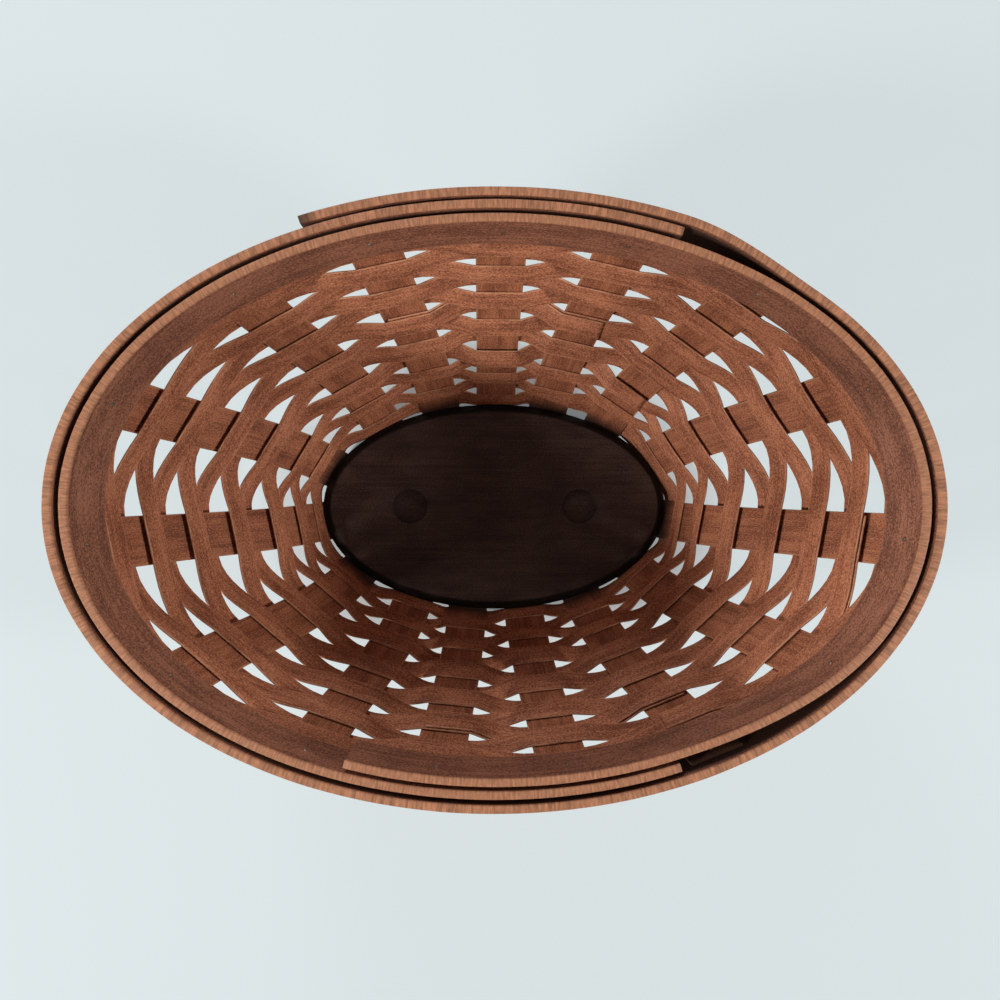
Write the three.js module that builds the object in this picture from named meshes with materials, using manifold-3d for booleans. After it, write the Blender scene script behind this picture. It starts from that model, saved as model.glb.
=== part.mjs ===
// An oval splint basket. Flat stakes stand in a groove round a solid oval board, one continuous spiral
// of thin strips is woven in and out of them, and two bent hoops clamp the stakes at the rim with brads.
// Millimetres and degrees, +Z up. The origin is the middle of the board's underside, +X along the oval.

import * as THREE from 'three';
import { mergeVertices } from 'three/addons/utils/BufferGeometryUtils.js';
import Module from 'manifold-3d';

const wasm = await Module();
wasm.setup();

// Board
const BOARD_LENGTH = 168;
const BOARD_WIDTH = 100;
const BOARD_THICKNESS = 8;
const BOARD_EDGE_ROUND = 0.8;
const BOARD_BEVEL_WIDTH = 2.8;
const BOARD_BEVEL_HEIGHT = 2;
const GROOVE_HEIGHT = 4.4;
const GROOVE_DEPTH = 4.5;
const RECESS_DIAMETER = 17.3;
const RECESS_DEPTH = 2.4;
const RECESS_SPACING = 83.5;

// Stakes: the rim sizes are measured between the middles of opposite stakes. Between board and rim the wall
// bulges outwards by up to the given amounts.
const RIM_LENGTH = 295.8;
const RIM_WIDTH = 199.2;
const END_BULGE = 7;
const SIDE_BULGE = 10;
const STAKE_COUNT = 15;
const STAKE_WIDTH = 19.05;
const STAKE_THICKNESS = 1;
const STAKE_BEND_RADIUS = 1.2;
const STAKE_STAND_OFF = 1.5;
const STAKE_TOP_DROP = 4;

// The whole ring of stakes is turned a little, and each stake wanders by hand from its even place, in degrees
const STAKE_TURN = 0.7;
const STAKE_WANDER = [-1, -2, -2, 1, -0.5, 0.5, 1.5, 0, -1, -0.5, 0, 0, 1.5, 1.5, 1];

// Woven strips: at the oval's ends they stand more upright than the wall and a little off the stakes, and on
// the long sides they lean out more than the wall, like louvres. The lowest rows lie flat on the stakes, and
// the leaning is complete above the given rise.
const NARROW_WIDTH = 5.95;
const WIDE_WIDTH = 8.95;
const STRIP_THICKNESS = 0.8;
const NARROW_LAPS = 4;
const WIDE_LAPS = 9;
const ROW_GAP = 0.1;
const FIRST_ROW_LIFT = 0.4;
const END_TILT = 7;
const END_SLACK = 1;
const SIDE_TILT = 11.5;
const TILT_RISE = 25;

// Where each wide strip begins, counted in stakes passed since the first wide row began
const SPLICES = [0, 46, 84, 116];
const SPLICE_LEAD = 0.2;
const SPLICE_TAIL = 2.2;
const SPLICE_GAP = 0.4;

// The spiral starts just behind one stake and climbs a row over a short stretch round its neighbour
const CLIMB_STAKE = 13;
const CLIMB_LEAD = 1.2;
const CLIMB_SPAN = 2;
const WEAVE_START = 0.8;
const WEAVE_TAIL = 0.3;

// The share of the way to the next stake over which a strip lies flat against this one, and how gently it
// then bends away, sharply from the inside of a stake and softly from the outside
const FLAT_SHARE = 0.25;
const INSIDE_EASE = 0.1;
const OUTSIDE_EASE = 0.4;

// Hoops: each is one bent strip whose ends overlap in a lap
const HOOP_HEIGHT = 15;
const HOOP_THICKNESS = 2.8;
const LAP_GAP = 1.4;
const OUTER_LAP_START = 65.5;
const OUTER_LAP_END = 116.4;
const OUTER_LAP_RAMP = 20.5;
const INNER_LAP_START = 248.5;
const INNER_LAP_END = 294.5;
const INNER_LAP_RAMP = 40.5;

// Brads through the hoops and stakes
const BRAD_DIAMETER = 1.2;
const BRAD_HEAD_DIAMETER = 3;
const BRAD_HEAD_HEIGHT = 0.5;
const BRAD_TIP_PROUD = 0.5;

// Room left between pieces that touch
const CLEARANCE = 0.3;

// Fineness of the curved pieces
const OVAL_STEPS = 1440;
const BOARD_SIDES = 64;
const HOOP_STEP = 4.5;
const ROUND_SIDES = 8;
const RECESS_SIDES = 20;
const RECESS_RINGS = 4;
const BEND_SEGMENTS = 3;
const STAKE_SEGMENTS = 12;
const CROSSING_SHARES = [1 / 3, 2 / 3];

const PALE_WOOD = 0xa5653f;
const STRIP_WOOD = 0x7d4a32;
const STAKE_WOOD = 0x6f3f2b;
const BOARD_WOOD = 0x3a2a22;
const BRAD_METAL = 0x8a8580;

const FULL_TURN = 360;
const radians = THREE.MathUtils.degToRad;
const up = new THREE.Vector3(0, 0, 1);

function smooth(share) {
  const x = THREE.MathUtils.clamp(share, 0, 1);
  return x * x * (3 - 2 * x);
}

// Heights of the weave

function stripWidth(passed) {
  const change = smooth((passed - WIDE_START + CLIMB_LEAD) / CLIMB_SPAN);
  return NARROW_WIDTH + (WIDE_WIDTH - NARROW_WIDTH) * change;
}

// The room that a row takes, at whichever lean makes it tallest
function rowPitch(width) {
  return Math.hypot(width, STRIP_THICKNESS) + ROW_GAP;
}

const WEAVE_FLOOR = GROOVE_HEIGHT + STAKE_THICKNESS / 2 + FIRST_ROW_LIFT;
const WIDE_START = NARROW_LAPS * STAKE_COUNT;
const WEAVE_END = WIDE_START + WIDE_LAPS * STAKE_COUNT;

// The first lap lies level until it climbs over its own start, and each later lap lies on the one below
function lowerEdge(passed) {
  const climbStart = STAKE_COUNT - CLIMB_LEAD;
  if (passed < climbStart + CLIMB_SPAN) {
    return WEAVE_FLOOR + rowPitch(NARROW_WIDTH) * smooth((passed - climbStart) / CLIMB_SPAN);
  }
  const below = passed - STAKE_COUNT;
  return lowerEdge(below) + rowPitch(stripWidth(below));
}

const WEAVE_TOP = lowerEdge(WEAVE_END - CLIMB_LEAD) + rowPitch(WIDE_WIDTH);
const HOOP_BOTTOM = WEAVE_TOP + CLEARANCE;
const HOOP_TOP = HOOP_BOTTOM + HOOP_HEIGHT;
const HOOP_MIDDLE = (HOOP_BOTTOM + HOOP_TOP) / 2;

// The wall: it bulges between foot and rim, its long sides most below half the height and its ends above it.
// The hoops hold it straight between their bottom and top.

const FOOT_A = BOARD_LENGTH / 2 + STAKE_STAND_OFF;
const FOOT_B = BOARD_WIDTH / 2 + STAKE_STAND_OFF;
const RIM_A = RIM_LENGTH / 2;
const RIM_B = RIM_WIDTH / 2;

const WALL_RISE = HOOP_TOP - GROOVE_HEIGHT;

// These make the two bulging curves reach exactly one where they are greatest
const SIDE_SCALE = Math.sqrt(27) / 2;
const END_SCALE = 3125 / 108;

function bulgedAxes(share) {
  const endBulge = END_BULGE * END_SCALE * share ** 3 * (1 - share) ** 2;
  const sideBulge = SIDE_BULGE * SIDE_SCALE * share * (1 - share) * (2 - share);
  return [FOOT_A + (RIM_A - FOOT_A) * share + endBulge, FOOT_B + (RIM_B - FOOT_B) * share + sideBulge];
}

const HOOP_AXES = bulgedAxes((HOOP_BOTTOM - GROOVE_HEIGHT) / WALL_RISE);
const HOOP_GROWTH = [(RIM_A - HOOP_AXES[0]) / HOOP_HEIGHT, (RIM_B - HOOP_AXES[1]) / HOOP_HEIGHT];

// Half the wall's length and width at one height
function wallAxes(height) {
  const above = height - HOOP_BOTTOM;
  if (above >= 0) {
    return [HOOP_AXES[0] + HOOP_GROWTH[0] * above, HOOP_AXES[1] + HOOP_GROWTH[1] * above];
  }
  return bulgedAxes((height - GROOVE_HEIGHT) / WALL_RISE);
}

// How fast the wall's half length and half width grow with height
function wallGrowth(height) {
  if (height >= HOOP_BOTTOM) {
    return HOOP_GROWTH;
  }
  const share = (height - GROOVE_HEIGHT) / WALL_RISE;
  const endBulge = END_BULGE * END_SCALE * share ** 2 * (1 - share) * (3 - 5 * share);
  const sideBulge = SIDE_BULGE * SIDE_SCALE * (2 - 6 * share + 3 * share ** 2);
  return [(RIM_A - FOOT_A + endBulge) / WALL_RISE, (RIM_B - FOOT_B + sideBulge) / WALL_RISE];
}

function wallPoint(angle, height) {
  const [a, b] = wallAxes(height);
  return new THREE.Vector3(a * Math.cos(angle), b * Math.sin(angle), height);
}

function ovalNormal(angle, a, b) {
  return new THREE.Vector3(b * Math.cos(angle), a * Math.sin(angle), 0).normalize();
}

function rimNormal(angle) {
  return ovalNormal(angle, RIM_A, RIM_B);
}

// The way up the wall at one place
function wallRise(angle, height) {
  const [a, b] = wallGrowth(height);
  return new THREE.Vector3(a * Math.cos(angle), b * Math.sin(angle), 1);
}

// The wall's slope from upright, seen square to the oval
function wallSlope(angle, height) {
  return Math.atan(wallRise(angle, height).dot(rimNormal(angle)));
}

// Stakes stand about equally far apart along the board's edge, the first near the middle of the far long side

function stakeAngles() {
  const step = (2 * Math.PI) / OVAL_STEPS;
  const lengths = [0];
  for (let i = 1; i <= OVAL_STEPS; i += 1) {
    const middle = Math.PI / 2 + step * (i - 0.5);
    const speed = Math.hypot(FOOT_A * Math.sin(middle), FOOT_B * Math.cos(middle));
    lengths.push(lengths[i - 1] + speed * step);
  }
  const angles = [];
  for (let stake = 0; stake < STAKE_COUNT; stake += 1) {
    const target = (lengths[OVAL_STEPS] * stake) / STAKE_COUNT;
    const found = lengths.findIndex((length) => length >= target);
    const wander = STAKE_TURN + STAKE_WANDER[stake % STAKE_WANDER.length];
    angles.push(Math.PI / 2 + step * found + radians(wander));
  }
  return angles;
}

// Each stake's own directions: along the rim, square to it, and square to its face between the hoops
function stakeFrame(angle) {
  const normal = rimNormal(angle);
  const tangent = new THREE.Vector3(-normal.y, normal.x, 0);
  const length = wallRise(angle, HOOP_MIDDLE).normalize();
  const face = new THREE.Vector3().crossVectors(tangent, length).normalize();
  const halfWidth = STAKE_WIDTH / 2 / Math.sqrt(1 - tangent.dot(length) ** 2);
  return { angle, normal, tangent, face, halfWidth };
}

const stakes = stakeAngles().map(stakeFrame);

// Solids

// Joins rings of points into one closed body; each ring runs anticlockwise about the way the rings advance
function loft(rings) {
  const sides = rings[0].length;
  const last = (rings.length - 1) * sides;
  const index = [];
  for (let ring = 0; ring < last; ring += sides) {
    for (let j = 0; j < sides; j += 1) {
      const next = (j + 1) % sides;
      index.push(ring + j, ring + next, ring + sides + next);
      index.push(ring + j, ring + sides + next, ring + sides + j);
    }
  }
  for (let j = 1; j < sides - 1; j += 1) {
    index.push(0, j + 1, j);
    index.push(last, last + j, last + j + 1);
  }
  const geometry = new THREE.BufferGeometry();
  geometry.setFromPoints(rings.flat());
  geometry.setIndex(index);
  return geometry;
}

// A turned body about +Z from pairs of radius and height
function turned(profile, sides) {
  const ring = ([radius, height]) => {
    const points = [];
    for (let j = 0; j < sides; j += 1) {
      const angle = (2 * Math.PI * j) / sides;
      points.push(new THREE.Vector3(radius * Math.cos(angle), radius * Math.sin(angle), height));
    }
    return points;
  };
  return loft(profile.map(ring));
}

function toSolid(geometry) {
  const bare = geometry.clone();
  bare.deleteAttribute('normal');
  bare.deleteAttribute('uv');
  const merged = mergeVertices(bare);
  const vertProperties = new Float32Array(merged.attributes.position.array);
  const triVerts = new Uint32Array(merged.index.array);
  return new wasm.Manifold(new wasm.Mesh({ numProp: 3, vertProperties, triVerts }));
}

function fromSolid(solid) {
  const { vertProperties, triVerts } = solid.getMesh();
  const geometry = new THREE.BufferGeometry();
  geometry.setAttribute('position', new THREE.BufferAttribute(vertProperties, 3));
  geometry.setIndex(new THREE.BufferAttribute(triVerts, 1));
  return geometry;
}

function cut(geometry, cutters) {
  let solid = toSolid(geometry);
  for (const cutter of cutters) {
    solid = solid.subtract(toSolid(cutter));
  }
  return fromSolid(solid);
}

const basket = new THREE.Group();

function addPiece(name, geometry, color, roughness, metalness = 0) {
  geometry.computeVertexNormals();
  const mesh = new THREE.Mesh(geometry, new THREE.MeshStandardMaterial({ color, roughness, metalness }));
  mesh.name = name;
  basket.add(mesh);
  return mesh;
}

// Board: an oval slab with a bevelled top edge, a groove for the stakes' feet and two dished recesses

function boardGeometry() {
  const grooveHalf = STAKE_THICKNESS / 2 + CLEARANCE;
  const outline = [
    [BOARD_EDGE_ROUND, 0],
    [0, BOARD_EDGE_ROUND],
    [0, GROOVE_HEIGHT - grooveHalf],
    [GROOVE_DEPTH, GROOVE_HEIGHT - grooveHalf],
    [GROOVE_DEPTH, GROOVE_HEIGHT + grooveHalf],
    [0, GROOVE_HEIGHT + grooveHalf],
    [0, BOARD_THICKNESS - BOARD_BEVEL_HEIGHT],
    [BOARD_BEVEL_WIDTH, BOARD_THICKNESS],
  ];
  const a = BOARD_LENGTH / 2;
  const b = BOARD_WIDTH / 2;
  const ring = ([inset, height]) => {
    const points = [];
    for (let j = 0; j < BOARD_SIDES; j += 1) {
      const angle = (2 * Math.PI * j) / BOARD_SIDES;
      const point = new THREE.Vector3(a * Math.cos(angle), b * Math.sin(angle), height);
      points.push(point.addScaledVector(ovalNormal(angle, a, b), -inset));
    }
    return points;
  };
  return cut(loft(outline.map(ring)), [recessCutter(-1), recessCutter(1)]);
}

// A ball's cap that dips into the board's top and stands clear above it
function recessCutter(side) {
  const radius = RECESS_DIAMETER / 2;
  const ball = (radius * radius + RECESS_DEPTH * RECESS_DEPTH) / (2 * RECESS_DEPTH);
  const spread = Math.asin(Math.min(1, radius / ball));
  const profile = [];
  for (let ring = 1; ring <= RECESS_RINGS; ring += 1) {
    const angle = (spread * ring) / RECESS_RINGS;
    profile.push([ball * Math.sin(angle), ball * (1 - Math.cos(angle))]);
  }
  profile.push([radius, RECESS_DEPTH + BOARD_THICKNESS]);
  const cutter = turned(profile, RECESS_SIDES);
  const lowest = profile[0][1];
  return cutter.translate((side * RECESS_SPACING) / 2, 0, BOARD_THICKNESS - RECESS_DEPTH - lowest);
}

// Stakes: a tongue in the board's groove, a bend, and a run up the wall to the rim

// The middle line of a stake, from the tip of its tongue to its top, as points with a direction at each
function stakePath(frame) {
  const foot = wallPoint(frame.angle, GROOVE_HEIGHT);
  const rise = wallRise(frame.angle, GROOVE_HEIGHT);
  const outward = new THREE.Vector3(rise.x, rise.y, 0);
  const turn = Math.atan2(1, outward.length());
  outward.normalize();
  const bend = STAKE_BEND_RADIUS + STAKE_THICKNESS / 2;
  const bendStart = -bend * Math.tan(turn / 2);
  const reach = new THREE.Vector3(Math.cos(frame.angle), Math.sin(frame.angle), 0).dot(frame.normal);
  const buried = STAKE_STAND_OFF * reach + GROOVE_DEPTH - 2 * CLEARANCE;
  const tongue = -buried / outward.dot(frame.normal);
  const path = [{ point: foot.clone().addScaledVector(outward, tongue), direction: outward }];
  for (let step = 0; step <= BEND_SEGMENTS; step += 1) {
    const angle = (turn * step) / BEND_SEGMENTS;
    const point = foot.clone().addScaledVector(outward, bendStart + bend * Math.sin(angle));
    point.addScaledVector(up, bend * (1 - Math.cos(angle)));
    const direction = outward.clone().multiplyScalar(Math.cos(angle)).addScaledVector(up, Math.sin(angle));
    path.push({ point, direction });
  }
  const bendTop = path[path.length - 1].point.z;
  const climb = HOOP_BOTTOM - bendTop;
  const heights = [HOOP_TOP - STAKE_TOP_DROP];
  for (let step = STAKE_SEGMENTS; step > 0; step -= 1) {
    heights.unshift(bendTop + (climb * step) / STAKE_SEGMENTS);
  }
  for (const height of heights) {
    const direction = wallRise(frame.angle, height).normalize();
    path.push({ point: wallPoint(frame.angle, height), direction });
  }
  return path;
}

function stakeGeometry(frame) {
  const ring = ({ point, direction }) => {
    const across = new THREE.Vector3().crossVectors(frame.tangent, direction).normalize();
    const corner = (side, face) => {
      const place = point.clone().addScaledVector(frame.tangent, side * frame.halfWidth);
      return place.addScaledVector(across, (face * STAKE_THICKNESS) / 2);
    };
    return [corner(-1, -1), corner(-1, 1), corner(1, 1), corner(1, -1)];
  };
  return loft(stakePath(frame).map(ring));
}

// Hoops

// How far a flat stake's edges stand outside the oval that touches its middle
function stakeSag(angle) {
  const speed = Math.hypot(RIM_A * Math.sin(angle), RIM_B * Math.cos(angle));
  const radius = speed ** 3 / (RIM_A * RIM_B);
  return (STAKE_WIDTH / 2) ** 2 / (2 * radius);
}

const LAYER_STEP = HOOP_THICKNESS + LAP_GAP;
const HOOP_SEAT = STAKE_THICKNESS / 2 + CLEARANCE + HOOP_THICKNESS / 2;

// The outer hoop starts against the stakes and ends outside its own start
const outerHoop = {
  side: 1,
  start: OUTER_LAP_START,
  end: OUTER_LAP_END + FULL_TURN,
  layer: (turn) => smooth((turn - FULL_TURN - OUTER_LAP_START) / OUTER_LAP_RAMP + 1),
  seat: (angle) => HOOP_SEAT + stakeSag(angle),
};

// The inner hoop starts inside its own end and then closes on the stakes
const innerHoop = {
  side: -1,
  start: INNER_LAP_START,
  end: INNER_LAP_END + FULL_TURN,
  layer: (turn) => 1 - smooth((turn - INNER_LAP_END) / INNER_LAP_RAMP),
  seat: () => HOOP_SEAT,
};

function hoopMiddle(hoop, turn) {
  return hoop.side * (hoop.seat(radians(turn)) + LAYER_STEP * hoop.layer(turn));
}

function hoopRing(hoop, turn) {
  const angle = radians(turn);
  const middle = hoopMiddle(hoop, turn);
  const slope = wallSlope(angle, HOOP_MIDDLE);
  const corner = (height, across) => {
    const [a, b] = wallAxes(height);
    const distance = (middle + (across * HOOP_THICKNESS) / 2) / Math.cos(slope);
    return wallPoint(angle, height).addScaledVector(ovalNormal(angle, a, b), distance);
  };
  return [corner(HOOP_BOTTOM, -1), corner(HOOP_TOP, -1), corner(HOOP_TOP, 1), corner(HOOP_BOTTOM, 1)];
}

function hoopGeometry(hoop, drills) {
  const steps = Math.ceil((hoop.end - hoop.start) / HOOP_STEP);
  const rings = [];
  for (let step = 0; step <= steps; step += 1) {
    rings.push(hoopRing(hoop, hoop.start + ((hoop.end - hoop.start) * step) / steps));
  }
  return cut(loft(rings), drills);
}

// The face of a hoop that is furthest from the stakes, at one angle
function hoopFace(hoop, angle) {
  const turn = THREE.MathUtils.euclideanModulo(THREE.MathUtils.radToDeg(angle), FULL_TURN);
  const passes = [turn, turn + FULL_TURN].filter((pass) => pass >= hoop.start && pass <= hoop.end);
  const distances = passes.map((pass) => Math.abs(hoopMiddle(hoop, pass)) + HOOP_THICKNESS / 2);
  return Math.max(...distances);
}

// Brads: driven from outside through both hoops and the stake between them

function bradGeometry(frame) {
  const radius = BRAD_DIAMETER / 2;
  const head = BRAD_HEAD_DIAMETER / 2;
  const outside = hoopFace(outerHoop, frame.angle) + CLEARANCE;
  const inside = -hoopFace(innerHoop, frame.angle);
  const profile = [
    [radius / 2, inside - BRAD_TIP_PROUD],
    [radius, inside - BRAD_TIP_PROUD / 2],
    [radius, outside],
    [head, outside],
    [head, outside + BRAD_HEAD_HEIGHT / 2],
    [head / 2, outside + BRAD_HEAD_HEIGHT],
  ];
  return turned(profile, ROUND_SIDES);
}

function placeOnStake(object, frame) {
  object.quaternion.setFromUnitVectors(up, frame.face);
  object.position.copy(wallPoint(frame.angle, HOOP_MIDDLE));
  return object;
}

// The hole that a brad passes through, longer than everything that it goes through
function bradDrill(frame) {
  const radius = BRAD_DIAMETER / 2 + CLEARANCE;
  const reach = hoopFace(outerHoop, frame.angle) + hoopFace(innerHoop, frame.angle);
  const drill = turned([[radius, -reach], [radius, reach]], ROUND_SIDES);
  const placing = placeOnStake(new THREE.Object3D(), frame);
  placing.updateMatrix();
  return drill.applyMatrix4(placing.matrix);
}

// Woven strips

const LAYER_OFFSET = STRIP_THICKNESS + SPLICE_GAP;

function stakePassed(pass) {
  return stakes[(pass + CLIMB_STAKE) % STAKE_COUNT];
}

// The share of its full leaning that a strip has reached
function tiltShare(height) {
  return smooth((height - WEAVE_FLOOR) / TILT_RISE);
}

// How much more upright than the wall a strip stands
function tiltAt(angle, height) {
  const full = END_TILT * Math.cos(angle) ** 2 - SIDE_TILT * Math.sin(angle) ** 2;
  return radians(full) * tiltShare(height);
}

// How far out from a stake's middle a strip runs: even passes go inside the stake, odd ones outside.
// Where two strips overlap in a splice, the newer one keeps to the inside of the older.
function passOffset(strip, pass, height) {
  const frame = stakePassed(pass);
  const slope = wallSlope(frame.angle, height);
  const tilt = Math.abs(tiltAt(frame.angle, height));
  const halfStrip = (STRIP_THICKNESS * Math.cos(tilt) + stripWidth(pass) * Math.sin(tilt)) / 2;
  const slack = CLEARANCE + END_SLACK * Math.cos(frame.angle) ** 2 * tiltShare(height);
  const offset = (STAKE_THICKNESS / 2 + slack + halfStrip) / Math.cos(slope);
  const inside = pass % 2 === 0;
  if (inside) {
    return -offset - (pass <= strip.start + SPLICE_LEAD + SPLICE_TAIL && strip.spliced ? LAYER_OFFSET : 0);
  }
  return offset + (pass >= strip.end - SPLICE_TAIL && strip.joined ? LAYER_OFFSET : 0);
}

function besideStake(strip, pass, height, along) {
  const frame = stakePassed(pass);
  const offset = passOffset(strip, pass, height);
  const point = wallPoint(frame.angle, height).addScaledVector(frame.normal, offset);
  return point.addScaledVector(frame.tangent, along * (frame.halfWidth + CLEARANCE));
}

function easeFrom(pass) {
  return pass % 2 === 0 ? INSIDE_EASE : OUTSIDE_EASE;
}

// A strip's middle and direction: straight across each stake, and a curve through the gap to the next
function stripPlace(strip, passed, height) {
  const pass = Math.round(passed);
  const share = passed - pass;
  if (Math.abs(share) <= FLAT_SHARE) {
    const point = besideStake(strip, pass, height, share / FLAT_SHARE);
    return { point, direction: stakePassed(pass).tangent };
  }
  const from = Math.floor(passed);
  const start = besideStake(strip, from, height, 1);
  const end = besideStake(strip, from + 1, height, -1);
  const u = (passed - from - FLAT_SHARE) / (1 - 2 * FLAT_SHARE);
  const gap = start.distanceTo(end);
  const leave = start.clone().addScaledVector(stakePassed(from).tangent, gap * easeFrom(from));
  const arrive = end.clone().addScaledVector(stakePassed(from + 1).tangent, -gap * easeFrom(from + 1));
  const curve = new THREE.CubicBezierCurve3(start, leave, arrive, end);
  return { point: curve.getPoint(u), direction: curve.getTangent(u) };
}

function stripRing(strip, passed) {
  const low = lowerEdge(passed);
  const full = strip.wide ? stripWidth(passed) : NARROW_WIDTH;
  const [a, b] = wallAxes(low + full / 2);
  const near = stripPlace(strip, passed, low + full / 2).point;
  const angle = Math.atan2(near.y / b, near.x / a);
  const lean = wallSlope(angle, low + full / 2) - tiltAt(angle, low + full / 2);
  const edge = STRIP_THICKNESS * Math.sin(lean);
  const width = Math.min(full, (WEAVE_TOP - ROW_GAP - low - edge) / Math.cos(lean));
  const { point, direction } = stripPlace(strip, passed, low + (width * Math.cos(lean) + edge) / 2);
  const normal = new THREE.Vector3(direction.y, -direction.x, 0);
  const across = normal.clone().multiplyScalar(Math.cos(lean)).addScaledVector(up, -Math.sin(lean));
  const along = normal.clone().multiplyScalar(Math.sin(lean)).addScaledVector(up, Math.cos(lean));
  const corner = (side, level) => {
    const place = point.clone().addScaledVector(across, (side * STRIP_THICKNESS) / 2);
    return place.addScaledVector(along, (level * width) / 2);
  };
  return [corner(-1, -1), corner(-1, 1), corner(1, 1), corner(1, -1)];
}

// The places along a strip where its bends are: both edges of each stake and some in each gap
function stripStations(strip) {
  const gap = 1 - 2 * FLAT_SHARE;
  const stations = [strip.start];
  for (let pass = Math.floor(strip.start); pass <= strip.end; pass += 1) {
    const shares = [-FLAT_SHARE, FLAT_SHARE, ...CROSSING_SHARES.map((share) => FLAT_SHARE + gap * share)];
    for (const share of shares) {
      const station = pass + share;
      if (station > strip.start && station < strip.end) {
        stations.push(station);
      }
    }
  }
  stations.push(strip.end);
  return stations;
}

function stripGeometry(strip) {
  return loft(stripStations(strip).map((passed) => stripRing(strip, passed)));
}

function weaveStrips() {
  const splices = SPLICES.map((splice) => WIDE_START + splice);
  const changes = splices.filter((splice) => splice + SPLICE_TAIL < WEAVE_END);
  const starts = [WEAVE_START, ...changes.map((change) => change - SPLICE_LEAD)];
  const ends = [...changes.map((change) => change + SPLICE_TAIL), WEAVE_END + WEAVE_TAIL];
  return starts.map((start, i) => ({
    name: i === 0 ? 'narrow_weaver' : `wide_weaver_${i}`,
    wide: i > 0,
    spliced: i > 0,
    joined: i < changes.length,
    start,
    end: ends[i],
  }));
}

// Assembly

function numbered(name, index) {
  return `${name}_${String(index + 1).padStart(2, '0')}`;
}

addPiece('base_board', boardGeometry(), BOARD_WOOD, 0.6);

const drills = stakes.map(bradDrill);

stakes.forEach((frame, i) => {
  addPiece(numbered('stake', i), cut(stakeGeometry(frame), [drills[i]]), STAKE_WOOD, 0.65);
});

for (const strip of weaveStrips()) {
  addPiece(strip.name, stripGeometry(strip), STRIP_WOOD, 0.65);
}

addPiece('inner_hoop', hoopGeometry(innerHoop, drills), PALE_WOOD, 0.6);
addPiece('outer_hoop', hoopGeometry(outerHoop, drills), PALE_WOOD, 0.6);

stakes.forEach((frame, i) => {
  placeOnStake(addPiece(numbered('hoop_brad', i), bradGeometry(frame), BRAD_METAL, 0.4, 1), frame);
});

export default basket;
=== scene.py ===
"""Looks for the oval splint basket: the same stakes, woven strips, hoops and board as the solids, with
rounded edges, hand-woven unevenness and stained wood. Lengths are in millimetres until a mesh is made."""

import functools
import math

import bmesh
import bpy
import numpy as np
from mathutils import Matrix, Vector, noise
from mathutils.geometry import tessellate_polygon


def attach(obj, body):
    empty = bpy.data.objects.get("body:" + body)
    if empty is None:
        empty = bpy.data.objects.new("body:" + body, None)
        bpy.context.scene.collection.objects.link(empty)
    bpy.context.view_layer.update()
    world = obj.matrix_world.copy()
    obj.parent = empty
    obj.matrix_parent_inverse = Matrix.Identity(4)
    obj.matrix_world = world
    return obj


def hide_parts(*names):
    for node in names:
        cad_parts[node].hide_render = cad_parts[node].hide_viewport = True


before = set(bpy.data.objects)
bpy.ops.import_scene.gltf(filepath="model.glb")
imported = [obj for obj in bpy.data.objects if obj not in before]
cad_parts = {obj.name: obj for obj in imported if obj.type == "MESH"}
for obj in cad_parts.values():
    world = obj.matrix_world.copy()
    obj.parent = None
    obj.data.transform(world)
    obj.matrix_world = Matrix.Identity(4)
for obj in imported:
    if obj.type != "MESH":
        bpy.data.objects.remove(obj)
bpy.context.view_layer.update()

MM = 0.001

# Sizes of the solids. Angles are in degrees, and places along the weave in stakes passed.
BOARD_LENGTH, BOARD_WIDTH, BOARD_THICKNESS = 168, 100, 8
BOARD_EDGE_ROUND, BOARD_BEVEL_WIDTH, BOARD_BEVEL_HEIGHT = 0.8, 2.8, 2
GROOVE_HEIGHT, GROOVE_DEPTH = 4.4, 4.5
RECESS_DIAMETER, RECESS_DEPTH, RECESS_SPACING = 17.3, 2.4, 83.5
RIM_LENGTH, RIM_WIDTH, END_BULGE, SIDE_BULGE = 295.8, 199.2, 7, 10
STAKE_COUNT, STAKE_WIDTH, STAKE_THICKNESS = 15, 19.05, 1
STAKE_BEND_RADIUS, STAKE_STAND_OFF, STAKE_TOP_DROP = 1.2, 1.5, 4
STAKE_TURN, STAKE_WANDER = 0.7, (-1, -2, -2, 1, -0.5, 0.5, 1.5, 0, -1, -0.5, 0, 0, 1.5, 1.5, 1)
NARROW_WIDTH, WIDE_WIDTH, STRIP_THICKNESS = 5.95, 8.95, 0.8
NARROW_LAPS, WIDE_LAPS = 4, 9
ROW_GAP, FIRST_ROW_LIFT = 0.1, 0.4
END_TILT, END_SLACK, SIDE_TILT, TILT_RISE = 7, 1, 11.5, 25
SPLICES, SPLICE_LEAD, SPLICE_TAIL, SPLICE_GAP = (0, 46, 84, 116), 0.2, 2.2, 0.4
CLIMB_STAKE, CLIMB_LEAD, CLIMB_SPAN = 13, 1.2, 2
WEAVE_START, WEAVE_TAIL, FLAT_SHARE = 0.8, 0.3, 0.25
INSIDE_EASE, OUTSIDE_EASE = 0.1, 0.4
HOOP_HEIGHT, HOOP_THICKNESS, LAP_GAP = 15, 2.8, 1.4
OUTER_LAP_START, OUTER_LAP_END, OUTER_LAP_RAMP = 65.5, 116.4, 20.5
INNER_LAP_START, INNER_LAP_END, INNER_LAP_RAMP = 248.5, 294.5, 40.5
BRAD_DIAMETER, BRAD_HEAD_DIAMETER, BRAD_HEAD_HEIGHT, BRAD_TIP_PROUD = 1.2, 3, 0.5, 0.5
CLEARANCE = 0.3

UP = np.array([0.0, 0.0, 1.0])


def unit(vector):
    return vector / np.linalg.norm(vector)


def smooth(share):
    x = min(max(share, 0), 1)
    return x * x * (3 - 2 * x)


def wander(*place):
    """A gentle unevenness from -1 to 1, the same on every run."""
    return noise.noise(Vector(place))


# Heights of the weave. A place along the spiral is told by the count of stakes that it has passed.

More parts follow.
